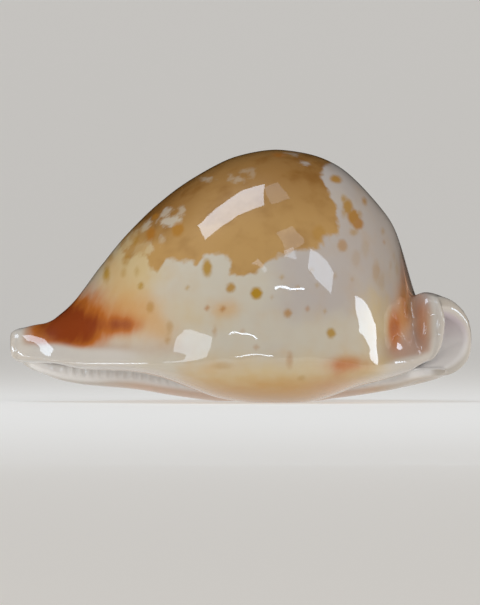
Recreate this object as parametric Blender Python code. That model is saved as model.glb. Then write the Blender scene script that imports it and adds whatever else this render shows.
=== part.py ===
"""A large cowrie shell, pear-shaped, with a drawn-out spout at each end, resting on its base.

Run with: blender --background --python part.py

The shell is one rolled wall. Its length runs along +X, from the narrow front spout to the blunt back
spout, the domed back of the shell faces +Z, and the slit between the two toothed lips faces the ground.
The inner lip and its swollen base are on the -Y side, the outer lip is on the +Y side.
Sections of the wall are laid along a spine that is straight under the dome and turns towards -Y in the
back spout, and the wall is lofted through them.
"""

import math

import bmesh
import bpy
import numpy as np
from mathutils import Vector

MM = 0.001
NAME = "shell"

# Driving dimensions, in millimetres
FRONT_END = -46.2  # where the spine starts, at the tip of the front spout
BACK_END = 43.9  # where it ends, measured along the spine
BEND_START = 29.0  # the spine is straight up to here
BEND_DEGREES = 28.0  # how far the back spout turns towards -Y
FRONT_NOTCH = 2.6  # how far the front spout's rim is notched on top
BACK_NOTCH = 1.8  # how far the back spout's rim leans forward on top
FRONT_NOTCH_SHARE, BACK_NOTCH_SHARE = 0.75, 0.6  # where the notches begin, from 0 at a lip to 1 on top
FRONT_CORNERS = ((1.1, 2.6), (1.1, 2.6))  # the rim's rounding at the near and far lip: fall and height
BACK_CORNERS = ((3.8, 7.0), (4.4, 7.5))  # the same at the back
FRONT_FADE, BACK_FADE = 9.0, 14.0  # notches and corners fade out over these lengths
RIM_RADIUS = 1.5  # rounding of both spouts' rims
NEAR_TEETH, FAR_TEETH = 26, 34  # ridges across the inner and the outer lip
NEAR_TEETH_SPAN = (-36.0, 36.0)
FAR_TEETH_SPAN = (-37.0, 39.0)
TOOTH_HEIGHT = 0.6
TOOTH_WIDTH = 0.6  # at its foot, as part of the way from tooth to tooth
TOOTH_RISES = (-0.15, 0.8, 1, 0.7, -0.2)  # along a tooth, as parts of its height
TOOTH_SINK = 0.5  # how deep their feet stand in the lip
TOOTH_START, TOOTH_SECOND = 0.6, 0.3  # where a tooth's first two points lie between the lip's own
PIT_CENTRE, PIT_RADIUS, PIT_DEPTH = (35.4, -7.0, 20.0), 3.0, 1.2  # the sunken spire, by the back spout
GROOVE_AT, GROOVE_WIDTH, GROOVE_DEPTH = 35.6, 1.6, 2.2  # the upright groove beside the back spout
GROOVE_FOOT, GROOVE_HEAD = (9.0, 15.0), (0.92, 1.0)  # where it fades out: heights, then shares of the section
DISH_HEIGHT, DISH_WIDTH, DISH_DEPTH = 14.0, 4.0, 1.0  # the hollow flank of the front spout
DISH_START, DISH_STOP = (-45.0, -37.0), (-27.0, -13.0)
FLANGE, FLANGE_HEIGHT, FLANGE_WIDTH = 0.8, 8.9, 1.5  # the near edge of the base swells by the spouts
FLANGE_STOP, FLANGE_START, FLANGE_FOOT = (-20.0, -6.0), (20.0, 32.0), (0.1, 0.3)

# Outlines along the spine, as (distance, value) in millimetres. The exponents have no unit:
# 2 gives an elliptic flank, less gives a hollow one.
OUTLINES = {
    "top": [(-47.3, 15.4), (-44.5, 16.4), (-41, 16.9), (-38, 18), (-35, 20.4), (-30, 27), (-25, 33.3),
            (-18, 40.4), (-10, 46.4), (0, 51.2), (7, 52.3), (14, 51.4), (20, 49), (25, 44.7), (29.7, 39.4),
            (32.6, 35.2), (34.2, 30), (35.6, 22.9), (36.8, 21.7), (38.5, 22.6), (41, 22.9), (45.2, 21.4)],
    "near_width": [(-47.3, 5.2), (-45, 7.6), (-42, 9.3), (-38, 11.6), (-34, 15), (-30, 18.8), (-25, 23),
                   (-20, 26.5), (-14, 29.4), (-5, 31.6), (4, 32), (12, 31.2), (19, 28.8), (25, 24.6), (30, 19.4),
                   (34, 15), (37, 12), (40, 9.4), (43, 7.4), (45.2, 6.2)],
    "far_width": [(-47.3, 5), (-45, 7.2), (-42, 8.8), (-38, 11), (-34, 14.2), (-30, 17.8), (-25, 22),
                  (-20, 25.6), (-14, 28.4), (-5, 30.4), (4, 31), (12, 30.6), (20, 28.4), (26, 25.4), (31, 21.6),
                  (35, 17.6), (38, 14.2), (41, 10.8), (43, 8.6), (45.2, 6.8)],
    "near_margin": [(-47.3, 11.6), (-45, 10.2), (-40, 9.4), (-30, 8.7), (-22, 8.5), (-14, 8.7), (-5, 9),
                    (5, 9.4), (14, 9.4), (22, 9), (29, 8.9), (34, 9.2), (38, 10.2), (42, 12), (45.2, 14)],
    "far_margin": [(-47.3, 12.2), (-45, 10), (-40, 8.2), (-30, 7.3), (-22, 7.4), (-14, 8.2), (-5, 9.2),
                   (5, 10), (14, 10), (22, 9.4), (29, 8.8), (34, 8.6), (38, 9.2), (42, 11), (45.2, 13)],
    "near_base": [(-47.3, 8.8), (-44.5, 8.2), (-38.5, 8), (-33, 6.8), (-23, 6.3), (-17, 5.2), (-11, 3.1),
                  (-5, 0.95), (0, 0.1), (4, -0.35), (9, -0.45), (13, -0.15), (18.5, 1.2), (24.5, 3.4),
                  (31, 4.9), (36, 6.1), (40, 7.3), (45.2, 8.8)],
    "far_base": [(-47.3, 9), (-45.5, 7.4), (-42, 5.9), (-38, 4.5), (-33, 3.5), (-22, 2.5), (-15, 1.3),
                 (-8, 0.3), (-2, -0.3), (6, -0.5), (13, -0.35), (19, 0.5), (25, 1.3), (30, 2.2), (35, 3.3),
                 (39, 4.3), (45.2, 5.6)],
    "near_flank": [(-47.3, 2.4), (-44, 2), (-40, 1.6), (-34, 1.55), (-28, 1.7), (-20, 1.9), (-10, 2.05),
                   (5, 2.15), (18, 2.15), (26, 2.05), (31, 1.85), (34, 1.7), (36.5, 1.75), (38.5, 2.3),
                   (42, 2.8), (45.2, 3)],
    "far_flank": [(-47.3, 2.4), (-44, 2), (-40, 1.6), (-34, 1.55), (-28, 1.75), (-20, 1.95), (-10, 2.1),
                  (5, 2.2), (18, 2.2), (26, 2.1), (31, 1.9), (34, 1.65), (37, 1.6), (40, 2), (45.2, 2.4)],
    "slit_centre": [(-47.3, 0), (-40, 0.3), (-30, 2), (-20, 4.2), (-10, 6), (0, 7), (10, 7), (20, 5.8),
                    (28, 3.6), (34, 1.5), (38, 0.6), (45.2, 0.4)],
    "slit_width": [(-47.3, 5.8), (-44, 4.4), (-40, 3.8), (-30, 3.9), (-10, 3.7), (5, 3.5), (20, 3.5),
                   (32, 3.6), (36, 3.9), (38, 5.2), (40, 7.2), (43, 8.6), (45.2, 9)],
    "near_roll": [(-47.3, 1.2), (-44, 1.6), (-40, 3), (-30, 5), (-15, 8), (0, 10.5), (10, 10.5), (20, 8),
                  (30, 5), (36, 3), (40, 2), (42, 1.2), (45.2, 0.8)],
    "far_roll": [(-47.3, 1.2), (-44, 1.8), (-40, 2.6), (-30, 3.4), (-15, 4.2), (0, 4.6), (15, 4.4),
                 (30, 3.6), (36, 3), (40, 2.2), (42, 1.3), (45.2, 0.8)],
    "roll_rise": [(-47.3, 0.7), (-44, 1), (-40, 1.5), (-20, 2.1), (0, 2.4), (20, 2.2), (36, 1.6), (41, 1),
                  (45.2, 0.7)],
    "lip_depth": [(-47.3, 1.8), (-44, 2.2), (-36, 4), (-28, 5.2), (0, 6.2), (20, 5.8), (30, 4.8), (36, 3.4),
                  (40, 2.6), (45.2, 1.6)],
    "ridge_side": [(-47.3, 0.3), (-40, 0.6), (-20, -0.5), (0, -1), (20, -1), (30, -1.5), (36, -2.8),
                   (40, -3.4), (45.2, -3)],
    "ridge_dip": [(-47.3, 1.4), (-44, 1.2), (-41, 0.8), (-38, 0.2), (-35, 0), (0, 0), (34, 0), (45.2, 0)],
    "top_wall": [(-47.3, 2.2), (-44, 2.6), (-38, 3.2), (-30, 3), (-20, 2.6), (0, 2.3), (20, 2.4), (28, 3),
                 (32, 4.8), (34.5, 6.8), (36.5, 6.4), (39, 5.2), (42, 4.4), (45.2, 3.8)],
    "near_hollow": [(-47.3, 3.9), (-44, 3.4), (-41, 3.4), (-38, 4.6), (-34, 8.9), (-30, 13), (-25, 17.5),
                    (-20, 21.5), (-14, 25.2), (-5, 28.1), (4, 28.7), (12, 28), (19, 25.6), (25, 21.2),
                    (30, 14), (33, 9.2), (35.5, 5.8), (38, 4.9), (41, 4.8), (43, 4.9), (45.2, 5)],
    "far_hollow": [(-47.3, 4.1), (-44, 3.6), (-41, 3.5), (-38, 4.7), (-34, 8.6), (-30, 12.8), (-25, 17.6),
                   (-20, 21.8), (-14, 25), (-5, 27.6), (4, 28.4), (12, 28), (20, 25.6), (26, 22),
                   (31, 16), (34, 10), (36.5, 6.4), (39, 5.2), (42, 5.2), (45.2, 5.6)],
}
SMOOTHING = 1.1  # how far each outline is eased, in millimetres
LOWER_ROUNDNESS = 2.15  # exponent of the base, under the widest line
INNER_ROUNDNESS = 2.0  # exponent of the hollow
INNER_ROLL = (0.3, 0.4)  # the lip's inner rounding, as most of its outer one and of the way to the hollow
INNER_RISE = 0.5  # and as part of the lip's depth
BELLY_SHARE = 0.26  # the hollow is widest at least this far up
DIP_WIDTH = 1.8  # of the notch along the ridge of the front spout

# How many spans each part of a section is cut into, and the stations along the spine
SPANS = (3, 5, 9)  # lip, base, flank
STATIONS = (
    list(np.linspace(FRONT_END, -36.0, 9))
    + list(np.linspace(-33.5, 26.0, 19))
    + list(np.linspace(28.5, 33.0, 3))
    + list(np.linspace(34.0, BACK_END, 12))
)
RIM_ANGLES = (66, 36)  # degrees, from the rim's edge inwards


def ease(low, high, value):
    """0 below low, 1 above high, and a smooth rise between."""
    t = np.clip((value - low) / (high - low), 0, 1)
    return t * t * (3 - 2 * t)


def eased_outlines():
    """Each outline as finely stepped values, curved between its points and then eased."""
    step = 0.25
    reach = int(4 * SMOOTHING / step)
    at = np.arange(FRONT_END - 8, BACK_END + 8, step)
    kernel = np.exp(-0.5 * (np.arange(-reach, reach + 1) * step / SMOOTHING) ** 2)
    kernel /= kernel.sum()
    found = {}
    for name, points in OUTLINES.items():
        x, y = np.array(points, float).T
        rise = np.diff(y) / np.diff(x)
        both = rise[1:] * rise[:-1]
        slope = np.where(both > 0, 2 * both / np.where(both > 0, rise[1:] + rise[:-1], 1), 0)
        slope = np.concatenate([rise[:1], slope, rise[-1:]])
        i = np.clip(np.searchsorted(x, at, "right") - 1, 0, len(x) - 2)
        width = x[i + 1] - x[i]
        t = np.clip((at - x[i]) / width, 0, 1)
        value = y[i] + width * t * slope[i] + t * t * (
            (3 - 2 * t) * (y[i + 1] - y[i] - width * slope[i]) + (t - 1) * width * (slope[i + 1] - slope[i])
        )
        value += rise[0] * np.minimum(at - x[0], 0) + rise[-1] * np.maximum(at - x[-1], 0)
        found[name] = (at[reach:-reach], np.convolve(value, kernel, "valid"))
    return found


EASED = eased_outlines()


def outline(name, s):
    return float(np.interp(s, *EASED[name]))


def spine(s):
    """Place and heading of the spine at distance s, which turns evenly after BEND_START."""
    turn = math.radians(BEND_DEGREES)
    rate = turn / (BACK_END - BEND_START)
    if s <= BEND_START:
        return Vector((s, 0, 0)), 0.0
    heading = rate * (s - BEND_START)
    if heading <= turn:
        return Vector((BEND_START + math.sin(heading) / rate, (math.cos(heading) - 1) / rate, 0)), heading
    end = Vector((BEND_START + math.sin(turn) / rate, (math.cos(turn) - 1) / rate, 0))
    return end + (s - BACK_END) * Vector((math.cos(turn), -math.sin(turn), 0)), turn


def quarter(centre, reach, roundness, count, rising):
    """Points of a quarter superellipse, from its sideways end to its upright end if rising."""
    angles = np.linspace(0, math.pi / 2, count + 1)
    if not rising:
        angles = angles[::-1]
    y = centre[0] + reach[0] * np.cos(angles).clip(0) ** (2 / roundness)
    z = centre[1] + reach[1] * np.sin(angles).clip(0) ** (2 / roundness)
    return list(zip(y, z))


def half_section(s, near):
    """Outer and inner points of one side of the wall at s, from the slit's edge up to the ridge."""
    side = "near" if near else "far"
    sign = -1 if near else 1
    lip, base, flank = SPANS
    width = outline(side + "_width", s)
    margin = outline(side + "_margin", s)
    low = outline(side + "_base", s)
    roll = outline(side + "_roll", s)
    rise = outline("roll_rise", s)
    top = outline("top", s)
    ridge = outline("ridge_side", s)
    edge = outline("slit_centre", s) + sign * outline("slit_width", s) / 2
    foot = edge + sign * roll
    outer = quarter((foot, low + rise), (-sign * roll, -rise), 2, lip, True)
    outer += quarter((foot, margin), (sign * width - foot, low - margin), LOWER_ROUNDNESS, base, False)[1:]
    roundness = outline(side + "_flank", s)
    outer += quarter((ridge, margin), (sign * width - ridge, top - margin), roundness, flank, True)[1:]
    floor = low + outline("lip_depth", s)
    ceiling = top - outline("top_wall", s)
    hollow = sign * outline(side + "_hollow", s)
    in_roll = min(INNER_ROLL[0] * roll, INNER_ROLL[1] * abs(hollow - edge))
    in_rise = INNER_RISE * (floor - low - rise)
    belly = max(margin, floor + BELLY_SHARE * (ceiling - floor))
    foot = edge + sign * in_roll
    inner = quarter((foot, floor - in_rise), (-sign * in_roll, in_rise), 2, lip, True)
    inner += quarter((foot, belly), (hollow - foot, floor - belly), 2, base, False)[1:]
    inner += quarter((ridge, belly), (hollow - ridge, ceiling - belly), INNER_ROUNDNESS, flank, True)[1:]
    return outer, inner


def section(s):
    """Outer and inner points of the wall at s, from the near edge of the slit round to the far one."""
    near_outer, near_inner = half_section(s, True)
    far_outer, far_inner = half_section(s, False)
    outer = np.array(near_outer + far_outer[-2::-1])
    inner = np.array(near_inner + far_inner[-2::-1])
    dip = outline("ridge_dip", s) * np.exp(-((outer[:, 0] - outline("ridge_side", s)) / DIP_WIDTH) ** 2)
    outer[:, 1] -= dip * (outer[:, 1] > outline("near_margin", s))
    return outer, inner


def bump(value, centre, width):
    return math.exp(-(((value - centre) / width) ** 2))


def corners(points, radii):
    """How far a rounded rim falls back at each point, by its distance along the section from either foot."""
    steps = np.hypot(*np.diff(points, axis=0).T)
    steps[: SPANS[0]] = 0
    steps[-SPANS[0] :] = 0
    walked = np.concatenate([[0], np.cumsum(steps)])
    short = [np.maximum(1 - d / high, 0) for (_, high), d in zip(radii, (walked, walked[-1] - walked))]
    return sum(fall * left**3 for (fall, _), left in zip(radii, short))


def carve_near_side(p, share):
    """The groove beside the back spout, the hollow flank of the front one, and the swollen edge below both."""
    groove = ease(*GROOVE_FOOT, p.z) * (1 - ease(*GROOVE_HEAD, share)) * bump(p.x, GROOVE_AT, GROOVE_WIDTH)
    dish = ease(*DISH_START, p.x) * (1 - ease(*DISH_STOP, p.x)) * bump(p.z, DISH_HEIGHT, DISH_WIDTH)
    flange = max(1 - ease(*FLANGE_STOP, p.x), ease(*FLANGE_START, p.x)) * ease(*FLANGE_FOOT, share)
    flange *= bump(p.z, FLANGE_HEIGHT, FLANGE_WIDTH)
    p.y += float(GROOVE_DEPTH * groove + DISH_DEPTH * dish - FLANGE * flange)


def ring(s, pinch, ahead):
    """One station of the loft, in millimetres. pinch draws both faces together, for a rounded rim."""
    outer, inner = section(s)
    middle = (outer + inner) / 2
    share = 1 - np.abs(np.linspace(-1, 1, len(outer)))
    front = 1 - ease(FRONT_END, FRONT_END + FRONT_FADE, s)
    back = ease(BACK_END - BACK_FADE, BACK_END, s)
    notch = ease(FRONT_NOTCH_SHARE, 1, share) * FRONT_NOTCH * front + ahead
    notch -= ease(BACK_NOTCH_SHARE, 1, share) * BACK_NOTCH * back
    falls = [corners(f, FRONT_CORNERS) * front - corners(f, BACK_CORNERS) * back for f in (outer, inner)]
    shared = (falls[0] + falls[1]) / 2
    faces = []
    for points, fall in zip((outer, inner), falls):
        points = middle + (points - middle) * pinch
        slide = notch + shared + (fall - shared) * pinch
        placed = []
        for (y, z), along in zip(points, slide):
            place, heading = spine(float(s + along))
            placed.append(place + Vector((y * math.sin(heading), y * math.cos(heading), z)))
        faces.append(placed)
    for i, p in enumerate(faces[0]):
        if i < len(outer) // 2:
            carve_near_side(p, share[i])
        p.z -= PIT_DEPTH * bump((p - Vector(PIT_CENTRE)).length, 0, PIT_RADIUS)
        p.z = max(p.z, 0)  # the base is flat where it rests
    return faces[0] + faces[1][::-1]


def material(name, colour, roughness):
    made = bpy.data.materials.new(name)
    made.use_nodes = True
    shader = made.node_tree.nodes["Principled BSDF"]
    shader.inputs["Base Color"].default_value = (*colour, 1)
    shader.inputs["Roughness"].default_value = roughness
    return made


def wall_mesh():
    """The rolled wall: a loft through every station, closed at both rims."""
    mesh = bmesh.new()
    rings = []
    for angle in RIM_ANGLES:
        turn = math.radians(angle)
        rings.append(ring(FRONT_END, math.cos(turn), -RIM_RADIUS * math.sin(turn)))
    rings += [ring(s, 1, 0) for s in STATIONS]
    for angle in RIM_ANGLES[::-1]:
        turn = math.radians(angle)
        rings.append(ring(BACK_END, math.cos(turn), RIM_RADIUS * math.sin(turn)))
    loops = [[mesh.verts.new(p * MM) for p in points] for points in rings]
    count = len(loops[0])
    for one, other in zip(loops, loops[1:]):
        for i in range(count):
            j = (i + 1) % count
            mesh.faces.new((one[i], one[j], other[j], other[i]))
    half = count // 2
    for loop in (loops[0], loops[-1]):
        for i in range(half - 1):
            mesh.faces.new((loop[i], loop[i + 1], loop[count - 2 - i], loop[count - 1 - i]))
    bmesh.ops.recalc_face_normals(mesh, faces=mesh.faces)
    return mesh


def add_tooth(mesh, s, pitch, near):
    """A short ridge across a lip's edge at distance s, with its foot and both ends sunk in the wall."""
    half = TOOTH_WIDTH * pitch / 2
    paths = []
    for station in (s - half, s, s + half):
        points = ring(station, 1, 0)
        if not near:
            count = len(points) // 2
            points = points[:count][::-1] + points[count:][::-1]
        start, second = points[2].lerp(points[1], TOOTH_START), points[1].lerp(points[0], TOOTH_SECOND)
        paths.append([start, second, points[0], points[-1], points[-2]])
    inside = (points[3] + points[-4]) / 2
    before, path, after = paths
    loops = []
    for i, height in enumerate(TOOTH_RISES):
        run = path[min(i + 1, 4)] - path[max(i - 1, 0)]
        across = (after[i] - before[i]).normalized()
        out = across.cross(run).normalized()
        if out.dot(path[i] - inside) < 0:
            out = -out
        wedge = (
            path[i] - across * half - out * TOOTH_SINK,
            path[i] + out * TOOTH_HEIGHT * height,
            path[i] + across * half - out * TOOTH_SINK,
        )
        loops.append([mesh.verts.new(p * MM) for p in wedge])
    for one, other in zip(loops, loops[1:]):
        for i in range(3):
            j = (i + 1) % 3
            mesh.faces.new((one[i], one[j], other[j], other[i]))
    mesh.faces.new(loops[0])
    mesh.faces.new(loops[-1])


def teeth_mesh():
    mesh = bmesh.new()
    for near, count, span in ((True, NEAR_TEETH, NEAR_TEETH_SPAN), (False, FAR_TEETH, FAR_TEETH_SPAN)):
        places = np.linspace(*span, count)
        for s in places:
            add_tooth(mesh, float(s), places[1] - places[0], near)
    bmesh.ops.recalc_face_normals(mesh, faces=mesh.faces)
    return mesh


def as_object(name, mesh, collection, centre):
    """The mesh as an object, with centre moved to the origin."""
    data = bpy.data.meshes.new(name)
    bmesh.ops.translate(mesh, verts=mesh.verts, vec=-centre)
    mesh.to_mesh(data)
    mesh.free()
    made = bpy.data.objects.new(name, data)
    collection.objects.link(made)
    return made


def middle_of(mesh):
    """The middle of the mesh's extents along X and Y, at the height of the ground."""
    points = np.array([v.co for v in mesh.verts])
    x, y = (points.min(axis=0) + points.max(axis=0))[:2] / 2
    return Vector((x, y, 0))


def main():
    for old in list(bpy.data.objects):
        bpy.data.objects.remove(old)
    parts = bpy.data.collections.new("Cowrie shell")
    bpy.context.scene.collection.children.link(parts)
    wall, teeth = wall_mesh(), teeth_mesh()
    centre = middle_of(wall)
    body = as_object(NAME, wall, parts, centre)
    body.data.materials.append(material("Cowrie enamel", (0.66, 0.5, 0.34), 0.15))
    body.data.polygons.foreach_set("use_smooth", [True] * len(body.data.polygons))
    helpers = bpy.data.collections.new("Helpers")
    bpy.context.scene.collection.children.link(helpers)
    teeth = as_object("teeth", teeth, helpers, centre)
    teeth.hide_render = True
    teeth.display_type = "WIRE"
    join = body.modifiers.new("Teeth", "BOOLEAN")
    join.operation = "UNION"
    join.solver = "EXACT"
    join.object = teeth


main()
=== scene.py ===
"""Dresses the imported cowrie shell: a smooth rolled wall with toothed lips and marked enamel, on a pale floor.

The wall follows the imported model's outlines with many more points. The near edge's widest line is up to
2.2 mm lower, the flange below it a little lower and shorter, the back spout's bend starts more gently, and
the outer lip has more teeth, closer together.

Lengths are in millimetres until a mesh is made. The shell runs along X, with its narrow front spout at -X.
The inner lip is on the near side, -Y, the outer lip on the far side, +Y, and the dome is up, +Z.
"""

import math

import bpy
import numpy as np
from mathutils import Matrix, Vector


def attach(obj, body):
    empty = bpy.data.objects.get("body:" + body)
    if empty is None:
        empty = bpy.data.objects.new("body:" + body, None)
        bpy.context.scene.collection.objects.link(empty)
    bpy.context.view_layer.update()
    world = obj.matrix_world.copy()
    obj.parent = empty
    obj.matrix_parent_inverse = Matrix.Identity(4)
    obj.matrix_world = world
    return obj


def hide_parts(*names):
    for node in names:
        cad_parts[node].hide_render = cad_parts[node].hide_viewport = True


bl_info = {
    "name": "Cowrie Shell",
    "version": (1, 0, 0),
    "blender": (4, 5, 0),
    "location": "View3D > Sidebar > Cowrie",
    "description": "Grows a large cowrie shell with toothed lips and marked enamel, and sets a pale stage",
    "category": "Add Mesh",
}

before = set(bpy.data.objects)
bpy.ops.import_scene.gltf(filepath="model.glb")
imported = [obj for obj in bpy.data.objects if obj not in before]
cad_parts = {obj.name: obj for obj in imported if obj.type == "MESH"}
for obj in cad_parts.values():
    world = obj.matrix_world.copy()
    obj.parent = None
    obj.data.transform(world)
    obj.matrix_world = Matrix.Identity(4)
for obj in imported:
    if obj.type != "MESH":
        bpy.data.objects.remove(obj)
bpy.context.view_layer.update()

MM = 0.001
NODE = "shell"
PIECE = "cowrie_shell"

# Driving dimensions of the wall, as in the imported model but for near_margin, FLANGE_HEIGHT, FLANGE_START and
# BEND_EASE
FRONT_END, BACK_END = -46.2, 43.9  # ends of the spine, measured along it
BEND_START, BEND_DEGREES = 29, 28  # the back spout turns towards -Y
FRONT_NOTCH, BACK_NOTCH = 2.6, 1.8  # how far the rims are notched on top
FRONT_NOTCH_SHARE, BACK_NOTCH_SHARE = 0.75, 0.6
FRONT_CORNERS = ((1.1, 2.6), (1.1, 2.6))  # fall and height of the rim's rounding at the near and far lip
BACK_CORNERS = ((3.8, 7), (4.4, 7.5))
FRONT_FADE, BACK_FADE = 9, 14
RIM_RADIUS, RIM_FLAT = 1.5, 5  # rounding of both rims, and how many degrees short of closing it stops
PIT_CENTRE, PIT_RADIUS, PIT_DEPTH = (35.4, -7, 20), 3, 1.2  # the sunken spire
GROOVE_AT, GROOVE_WIDTH, GROOVE_DEPTH = 35.6, 1.6, 2.2  # the upright groove beside the back spout
GROOVE_FOOT, GROOVE_HEAD = (9, 15), (0.92, 1)
DISH_HEIGHT, DISH_WIDTH, DISH_DEPTH = 14, 4, 1  # the hollow flank of the front spout
DISH_START, DISH_STOP = (-45, -37), (-27, -13)
FLANGE, FLANGE_HEIGHT, FLANGE_WIDTH = 0.8, 8.2, 1.5
FLANGE_STOP, FLANGE_START, FLANGE_FOOT = (-20, -6), (25, 35), (0.1, 0.3)
OUTLINES = {
    "top": [(-47.3, 15.4), (-44.5, 16.4), (-41, 16.9), (-38, 18), (-35, 20.4), (-30, 27), (-25, 33.3),
        (-18, 40.4), (-10, 46.4), (0, 51.2), (7, 52.3), (14, 51.4), (20, 49), (25, 44.7), (29.7, 39.4),
        (32.6, 35.2), (34.2, 30), (35.6, 22.9), (36.8, 21.7), (38.5, 22.6), (41, 22.9), (45.2, 21.4)],
    "near_width": [(-47.3, 5.2), (-45, 7.6), (-42, 9.3), (-38, 11.6), (-34, 15), (-30, 18.8), (-25, 23),
        (-20, 26.5), (-14, 29.4), (-5, 31.6), (4, 32), (12, 31.2), (19, 28.8), (25, 24.6), (30, 19.4), (34, 15),
        (37, 12), (40, 9.4), (43, 7.4), (45.2, 6.2)],
    "far_width": [(-47.3, 5), (-45, 7.2), (-42, 8.8), (-38, 11), (-34, 14.2), (-30, 17.8), (-25, 22),
        (-20, 25.6), (-14, 28.4), (-5, 30.4), (4, 31), (12, 30.6), (20, 28.4), (26, 25.4), (31, 21.6),
        (35, 17.6), (38, 14.2), (41, 10.8), (43, 8.6), (45.2, 6.8)],
    "near_margin": [(-47.3, 11.6), (-45, 9.8), (-40, 9), (-36, 8.4), (-30, 7.9), (-22, 7.8), (-14, 7.9),
        (-5, 8.4), (5, 9), (14, 8.9), (22, 8), (29, 6.9), (34, 7), (38, 8.8), (42, 11.5), (45.2, 14)],
    "far_margin": [(-47.3, 12.2), (-45, 10), (-40, 8.2), (-30, 7.3), (-22, 7.4), (-14, 8.2), (-5, 9.2), (5, 10),
        (14, 10), (22, 9.4), (29, 8.8), (34, 8.6), (38, 9.2), (42, 11), (45.2, 13)],
    "near_base": [(-47.3, 8.8), (-44.5, 8.2), (-38.5, 8), (-33, 6.8), (-23, 6.3), (-17, 5.2), (-11, 3.1),
        (-5, 0.95), (0, 0.1), (4, -0.35), (9, -0.45), (13, -0.15), (18.5, 1.2), (24.5, 3.4), (31, 4.9),
        (36, 6.1), (40, 7.3), (45.2, 8.8)],
    "far_base": [(-47.3, 9), (-45.5, 7.4), (-42, 5.9), (-38, 4.5), (-33, 3.5), (-22, 2.5), (-15, 1.3),
        (-8, 0.3), (-2, -0.3), (6, -0.5), (13, -0.35), (19, 0.5), (25, 1.3), (30, 2.2), (35, 3.3), (39, 4.3),
        (45.2, 5.6)],
    "near_flank": [(-47.3, 2.4), (-44, 2), (-40, 1.6), (-34, 1.55), (-28, 1.7), (-20, 1.9), (-10, 2.05),
        (5, 2.15), (18, 2.15), (26, 2.05), (31, 1.85), (34, 1.7), (36.5, 1.75), (38.5, 2.3), (42, 2.8),
        (45.2, 3)],
    "far_flank": [(-47.3, 2.4), (-44, 2), (-40, 1.6), (-34, 1.55), (-28, 1.75), (-20, 1.95), (-10, 2.1),
        (5, 2.2), (18, 2.2), (26, 2.1), (31, 1.9), (34, 1.65), (37, 1.6), (40, 2), (45.2, 2.4)],
    "slit_centre": [(-47.3, 0), (-40, 0.3), (-30, 2), (-20, 4.2), (-10, 6), (0, 7), (10, 7), (20, 5.8),
        (28, 3.6), (34, 1.5), (38, 0.6), (45.2, 0.4)],
    "slit_width": [(-47.3, 5.8), (-44, 4.4), (-40, 3.8), (-30, 3.9), (-10, 3.7), (5, 3.5), (20, 3.5), (32, 3.6),
        (36, 3.9), (38, 5.2), (40, 7.2), (43, 8.6), (45.2, 9)],
    "near_roll": [(-47.3, 1.2), (-44, 1.6), (-40, 3), (-30, 5), (-15, 8), (0, 10.5), (10, 10.5), (20, 8),
        (30, 5), (36, 3), (40, 2), (42, 1.2), (45.2, 0.8)],
    "far_roll": [(-47.3, 1.2), (-44, 1.8), (-40, 2.6), (-30, 3.4), (-15, 4.2), (0, 4.6), (15, 4.4), (30, 3.6),
        (36, 3), (40, 2.2), (42, 1.3), (45.2, 0.8)],
    "roll_rise": [(-47.3, 0.7), (-44, 1), (-40, 1.5), (-20, 2.1), (0, 2.4), (20, 2.2), (36, 1.6), (41, 1),
        (45.2, 0.7)],
    "lip_depth": [(-47.3, 1.8), (-44, 2.2), (-36, 4), (-28, 5.2), (0, 6.2), (20, 5.8), (30, 4.8), (36, 3.4),
        (40, 2.6), (45.2, 1.6)],
    "ridge_side": [(-47.3, 0.3), (-40, 0.6), (-20, -0.5), (0, -1), (20, -1), (30, -1.5), (36, -2.8), (40, -3.4),
        (45.2, -3)],
    "ridge_dip": [(-47.3, 1.4), (-44, 1.2), (-41, 0.8), (-38, 0.2), (-35, 0), (0, 0), (34, 0), (45.2, 0)],
    "top_wall": [(-47.3, 2.2), (-44, 2.6), (-38, 3.2), (-30, 3), (-20, 2.6), (0, 2.3), (20, 2.4), (28, 3),
        (32, 4.8), (34.5, 6.8), (36.5, 6.4), (39, 5.2), (42, 4.4), (45.2, 3.8)],
    "near_hollow": [(-47.3, 3.9), (-44, 3.4), (-41, 3.4), (-38, 4.6), (-34, 8.9), (-30, 13), (-25, 17.5),
        (-20, 21.5), (-14, 25.2), (-5, 28.1), (4, 28.7), (12, 28), (19, 25.6), (25, 21.2), (30, 14), (33, 9.2),
        (35.5, 5.8), (38, 4.9), (41, 4.8), (43, 4.9), (45.2, 5)],
    "far_hollow": [(-47.3, 4.1), (-44, 3.6), (-41, 3.5), (-38, 4.7), (-34, 8.6), (-30, 12.8), (-25, 17.6),
        (-20, 21.8), (-14, 25), (-5, 27.6), (4, 28.4), (12, 28), (20, 25.6), (26, 22), (31, 16), (34, 10),
        (36.5, 6.4), (39, 5.2), (42, 5.2), (45.2, 5.6)],
}
SMOOTHING, BEND_EASE = 1.1, 1.8  # how widely the outlines, and the spine's bend, are eased
LOWER_ROUNDNESS, INNER_ROUNDNESS = 2.15, 2
INNER_ROLL, INNER_RISE, BELLY_SHARE = (0.3, 0.4), 0.5, 0.26
DIP_WIDTH = 1.8
OUTLINE_STEP, SPINE_STEP, SPINE_REACH = 0.25, 0.1, 60

# How finely the wall is cut: spans of the lip, the base and the flank, stations, and rings round each rim
SPANS = (14, 40, 64)
PART_SHARES = (0, 3 / 17, 8 / 17, 1)  # where the lip, the base and the flank end, from a foot to the ridge
STATION_STEP = 0.4
RIM_RINGS = 6
SLIT_ROWS = 8  # rows of points up each wall of the slit

# Each row of teeth: its ends along the shell, how far it reaches over its lip, its share of the height
TEETH = {"near": ((-36, 36), 3, 1), "far": ((-37, 30), 0.5, 0.5)}
TOOTH_DEPTH, TOOTH_FULL = 1.5, 0.7  # a tooth's end past the slit's wall, and its full height past the edge
TOOTH_FOOT = -0.5  # where a tooth starts on the wave of its row, which is 1 on a crest and -1 between two

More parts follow.
